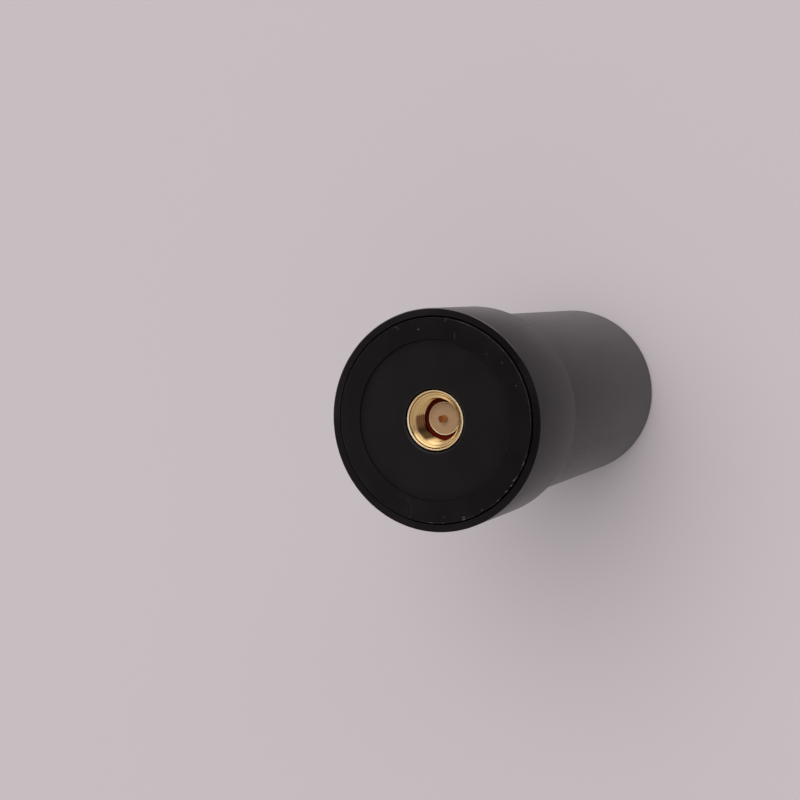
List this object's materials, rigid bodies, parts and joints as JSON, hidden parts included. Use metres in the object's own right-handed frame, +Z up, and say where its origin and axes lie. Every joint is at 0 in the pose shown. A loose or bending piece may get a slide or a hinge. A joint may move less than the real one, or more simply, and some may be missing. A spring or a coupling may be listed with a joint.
{
  "type": "helical gnss antenna",
  "caption": "Active helical satellite antenna in a round black housing, with a wider collar and a gold screw-on coaxial plug sunk in its base cap.",
  "frame": {"origin": "centre of the closed end of the housing, on the face it stands on", "axes": "+Z up the antenna's axis, out of the base cap, the way the plug opens"},
  "size_m": [0.0296, 0.0296, 0.0598],
  "materials": {
    "housing_black": "satin moulded plastic",
    "cap_black": "satin moulded plastic, worn edge",
    "seal_rubber": "smooth rubber",
    "gold": "gold plated, turned",
    "insulator": "machined fluoropolymer",
    "gasket_red": "moulded silicone",
    "board_green": "solder mask",
    "steel": "zinc plated",
    "tinned": "tinned sheet",
    "chip_black": "moulded package",
    "ceramic_white": "fired ceramic",
    "header_black": "moulded plastic",
    "former_white": "moulded plastic",
    "copper": "bare copper strip",
    "foam_grey": "closed-cell foam"
  },
  "bodies": {
    "root": {"radome_housing": "housing_black", "base_cap": "cap_black", "cap_seal": "seal_rubber", "connector_sleeve": "gold", "connector_body": "gold", "connector_dielectric": "insulator", "centre_pin": "gold", "sealing_gasket": "gasket_red", "amplifier_board": "board_green", "board_screws": "steel", "shield_frame": "tinned", "shield_lid": "tinned", "first_amplifier": "chip_black", "second_amplifier": "chip_black", "saw_filters": "ceramic_white", "voltage_regulator": "chip_black", "bias_inductor": "ceramic_white", "board_capacitors": "ceramic_white", "feed_board": "board_green", "phase_hybrids": "ceramic_white", "link_header": "header_black", "link_pins": "gold", "helix_former": "former_white", "helix_arm_1": "copper", "helix_arm_2": "copper", "helix_arm_3": "copper", "helix_arm_4": "copper", "former_screws": "steel", "foam_pad": "foam_grey"}
  },
  "joints": []
}
